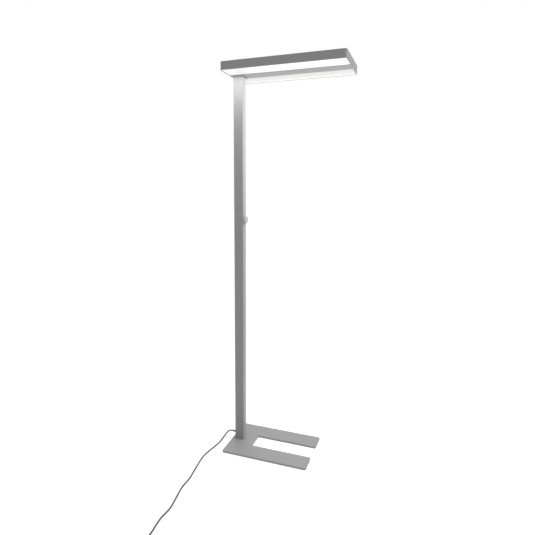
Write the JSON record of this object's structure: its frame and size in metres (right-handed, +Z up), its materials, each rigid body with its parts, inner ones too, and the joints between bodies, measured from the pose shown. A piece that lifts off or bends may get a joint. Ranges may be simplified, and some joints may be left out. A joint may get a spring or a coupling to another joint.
{
  "type": "office floor lamp",
  "caption": "Slim office floor lamp: flat rectangular light head on an off-centre mast, slotted base plate, dimmer knob and mains lead.",
  "frame": {"origin": "on the floor, under the middle of the lamp's outline, measured with its strain relief and without its free lead", "axes": "+X along the head towards its free end, +Y across the head away from the side that the picture shows nearest, +Z up"},
  "size_m": [0.6677, 1.0776, 1.952],
  "materials": {
    "base_coat": "satin powder coat, silver grey",
    "mast_coat": "satin powder coat, silver grey",
    "head_coat": "satin powder coat, silver grey",
    "knob_coat": "satin turned",
    "tray_coat": "matte white",
    "bare_aluminium": "satin",
    "zinc_steel": "satin zinc",
    "spring_steel": "satin",
    "pad_rubber": "matte",
    "grey_nylon": "matte",
    "black_nylon": "matte",
    "white_nylon": "matte",
    "green_board": "satin",
    "white_board": "satin",
    "led_resin": "gloss",
    "opal_acrylic": "satin opal, lit",
    "satin_acrylic": "satin, lit",
    "driver_case": "matte",
    "lead_jacket": "matte",
    "wire_jacket": "satin",
    "cord_pvc": "satin",
    "plug_pvc": "satin",
    "nickel_pins": "polished nickel"
  },
  "bodies": {
    "stand": {"base_plate": "base_coat", "base_pads": "pad_rubber", "mast_screws": "zinc_steel", "mast": "mast_coat", "cord_gland": "grey_nylon", "gland_nut": "grey_nylon", "inner_mains_lead": "lead_jacket", "encoder_body": "black_nylon", "dimmer_washer": "zinc_steel", "dimmer_nut": "zinc_steel", "dimmer_board": "green_board", "board_connector": "white_nylon", "switch_dome": "spring_steel", "control_lead": "lead_jacket", "head_adapter": "head_coat", "adapter_screws": "zinc_steel", "head_bolts": "zinc_steel", "head_nuts": "zinc_steel", "spine_profile": "head_coat", "spine_strip": "head_coat", "strip_screws": "zinc_steel", "near_rail": "head_coat", "far_rail": "head_coat", "mast_end_rail": "head_coat", "free_end_rail": "head_coat", "corner_pieces": "head_coat", "end_brackets": "bare_aluminium", "bracket_screws": "zinc_steel", "near_tray": "tray_coat", "far_tray": "tray_coat", "tray_screws": "zinc_steel", "direct_boards": "white_board", "uplight_boards": "white_board", "direct_leds": "led_resin", "uplight_leds": "led_resin", "near_diffuser": "opal_acrylic", "far_diffuser": "opal_acrylic", "near_uplight_cover": "satin_acrylic", "far_uplight_cover": "satin_acrylic", "light_driver": "driver_case", "driver_screws": "zinc_steel", "terminal_block": "white_nylon", "mains_link": "wire_jacket", "board_leads": "wire_jacket", "power_cord": "cord_pvc", "cord_coil": "cord_pvc", "coil_tie": "black_nylon", "plug_lead": "cord_pvc", "plug_body": "plug_pvc", "plug_pins": "nickel_pins", "earth_clips": "nickel_pins"},
    "dimmer_rotor": {"encoder_rotor": "white_nylon"},
    "knob": {"dimmer_shaft": "bare_aluminium", "dimmer_knob": "knob_coat", "knob_set_screw": "zinc_steel"}
  },
  "joints": [
    {"name": "knob_turn", "type": "hinge", "parent": "stand", "child": "dimmer_rotor", "pos_m": [-0.2255, 0, 1.22], "axis": [1, 0, 0], "continuous": true},
    {"name": "knob_push", "type": "slide", "parent": "dimmer_rotor", "child": "knob", "axis": [-1, 0, 0], "range_m": [0, 0.001], "stiffness_N_per_m": 1500, "springref_m": -0.001}
  ]
}
